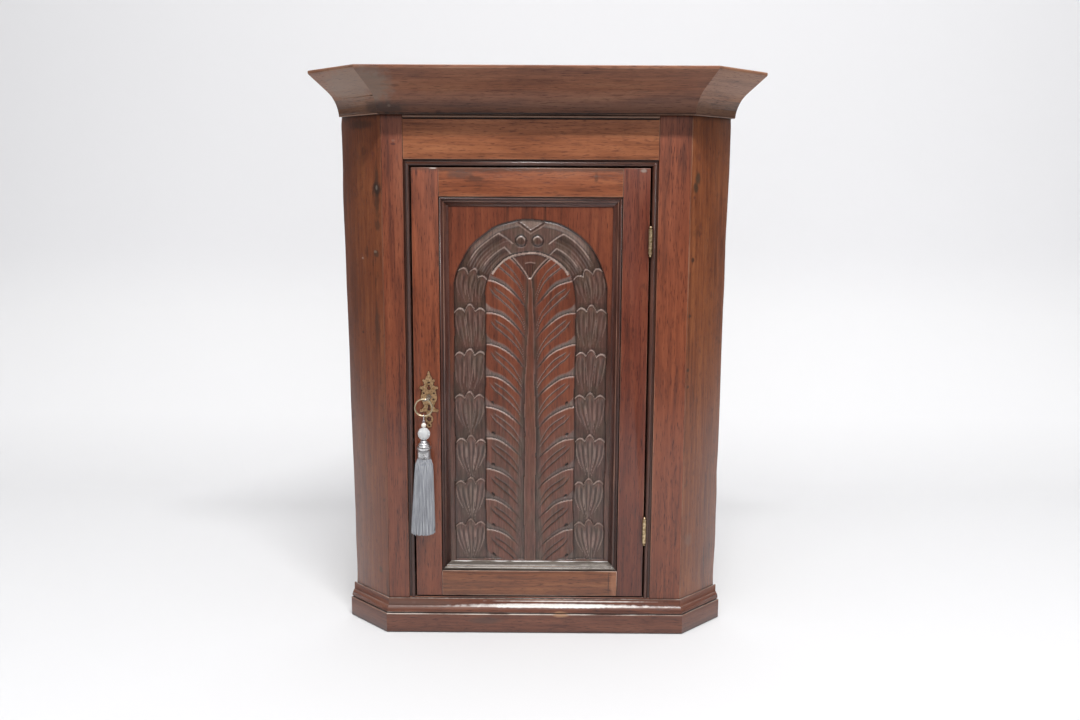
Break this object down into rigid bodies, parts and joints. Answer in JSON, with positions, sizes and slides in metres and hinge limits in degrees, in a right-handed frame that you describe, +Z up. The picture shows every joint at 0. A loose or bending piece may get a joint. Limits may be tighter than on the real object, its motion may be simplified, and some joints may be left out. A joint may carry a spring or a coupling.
{
  "type": "hanging corner cupboard",
  "caption": "Oak corner cupboard with canted front corners, a cavetto cornice, a moulded plinth and a carved panelled door with brass hinges, a pierced escutcheon and a key with a tassel.",
  "frame": {"origin": "middle of the box round the cupboard, at floor level", "axes": "+Z up, +Y to the back where the two walls meet, +X to the right seen from the front"},
  "size_m": [0.7488, 0.467, 0.95],
  "materials": {
    "oak": "dark red-brown oak with old wax polish",
    "carved_oak": "carved dark oak, waxed, with dust-dark ground",
    "backing_oak": "unpolished sawn oak boards",
    "hinge_brass": "dulled brass",
    "escutcheon_brass": "worn brass plate",
    "iron": "dark hand-filed iron",
    "ring_steel": "plain steel wire",
    "tassel_silver": "bright plated metal",
    "crystal": "clear cut glass",
    "tassel_thread": "shiny grey-blue thread"
  },
  "bodies": {
    "carcass": {"back_board_left_1": "backing_oak", "back_board_left_2": "backing_oak", "back_board_left_3": "backing_oak", "back_board_right_1": "backing_oak", "back_board_right_2": "backing_oak", "back_board_right_3": "backing_oak", "top_board": "backing_oak", "bottom_board": "oak", "lower_shelf": "oak", "upper_shelf": "oak", "canted_side_left": "oak", "canted_side_right": "oak", "frame_stile_left": "oak", "frame_stile_right": "oak", "frame_top_rail": "oak", "frame_bottom_rail": "oak", "opening_bead_left": "oak", "opening_bead_right": "oak", "opening_bead_top": "oak", "cornice_front": "oak", "cornice_left": "oak", "cornice_right": "oak", "base_moulding_front": "oak", "base_moulding_left": "oak", "base_moulding_right": "oak", "hinge_upper_frame_leaf": "hinge_brass", "hinge_lower_frame_leaf": "hinge_brass", "hinge_upper_pin": "hinge_brass", "hinge_lower_pin": "hinge_brass", "hinge_screws_frame": "hinge_brass"},
    "door": {"door_stile_left": "oak", "door_stile_right": "oak", "door_top_rail": "oak", "door_bottom_rail": "oak", "door_panel": "carved_oak", "panel_moulding_left": "oak", "panel_moulding_right": "oak", "panel_moulding_top": "oak", "panel_moulding_bottom": "oak", "hinge_upper_door_leaf": "hinge_brass", "hinge_lower_door_leaf": "hinge_brass", "hinge_screws_door": "hinge_brass", "lock_plate": "iron", "lock_case": "iron", "lock_screws": "iron", "escutcheon": "escutcheon_brass", "escutcheon_pins": "escutcheon_brass"},
    "lock_bolt": {"lock_bolt": "iron"},
    "key": {"key": "iron"},
    "key_ring": {"key_ring": "ring_steel"},
    "tassel_link": {"tassel_link": "tassel_silver"},
    "tassel": {"tassel_head_pin": "tassel_silver", "pearl_bead": "tassel_silver", "crystal_bead": "crystal", "tassel_cap": "tassel_silver", "tassel_skirt": "tassel_thread"}
  },
  "joints": [
    {"name": "door_swing", "type": "hinge", "parent": "carcass", "child": "door", "pos_m": [0.1878, -0.1663, 0.43], "axis": [0, 0, 1], "range_deg": [0, 150]},
    {"name": "key_turn", "type": "hinge", "parent": "door", "child": "key", "pos_m": [-0.1791, -0.163, 0.417], "axis": [0, -1, 0], "range_deg": [0, 130]},
    {"name": "bolt_slide", "type": "slide", "parent": "door", "child": "lock_bolt", "axis": [-1, 0, 0], "range_m": [0, 0.012]},
    {"name": "ring_swing", "type": "hinge", "parent": "key", "child": "key_ring", "pos_m": [-0.18563, -0.187, 0.41396], "axis": [0, -1, 0], "range_deg": [-130, 0]},
    {"name": "link_swing", "type": "hinge", "parent": "key_ring", "child": "tassel_link", "pos_m": [-0.18563, -0.187, 0.38778], "axis": [0, 1, 0], "range_deg": [-30, 30]},
    {"name": "tassel_swing", "type": "hinge", "parent": "tassel_link", "child": "tassel", "pos_m": [-0.18563, -0.187, 0.38188], "axis": [-1, 0, 0], "range_deg": [0, 45]}
  ],
  "couplings": [
    {"joint": "bolt_slide", "follows": "key_turn", "m_per_rad": 0.0052888},
    {"joint": "ring_swing", "follows": "key_turn", "ratio": -1}
  ]
}
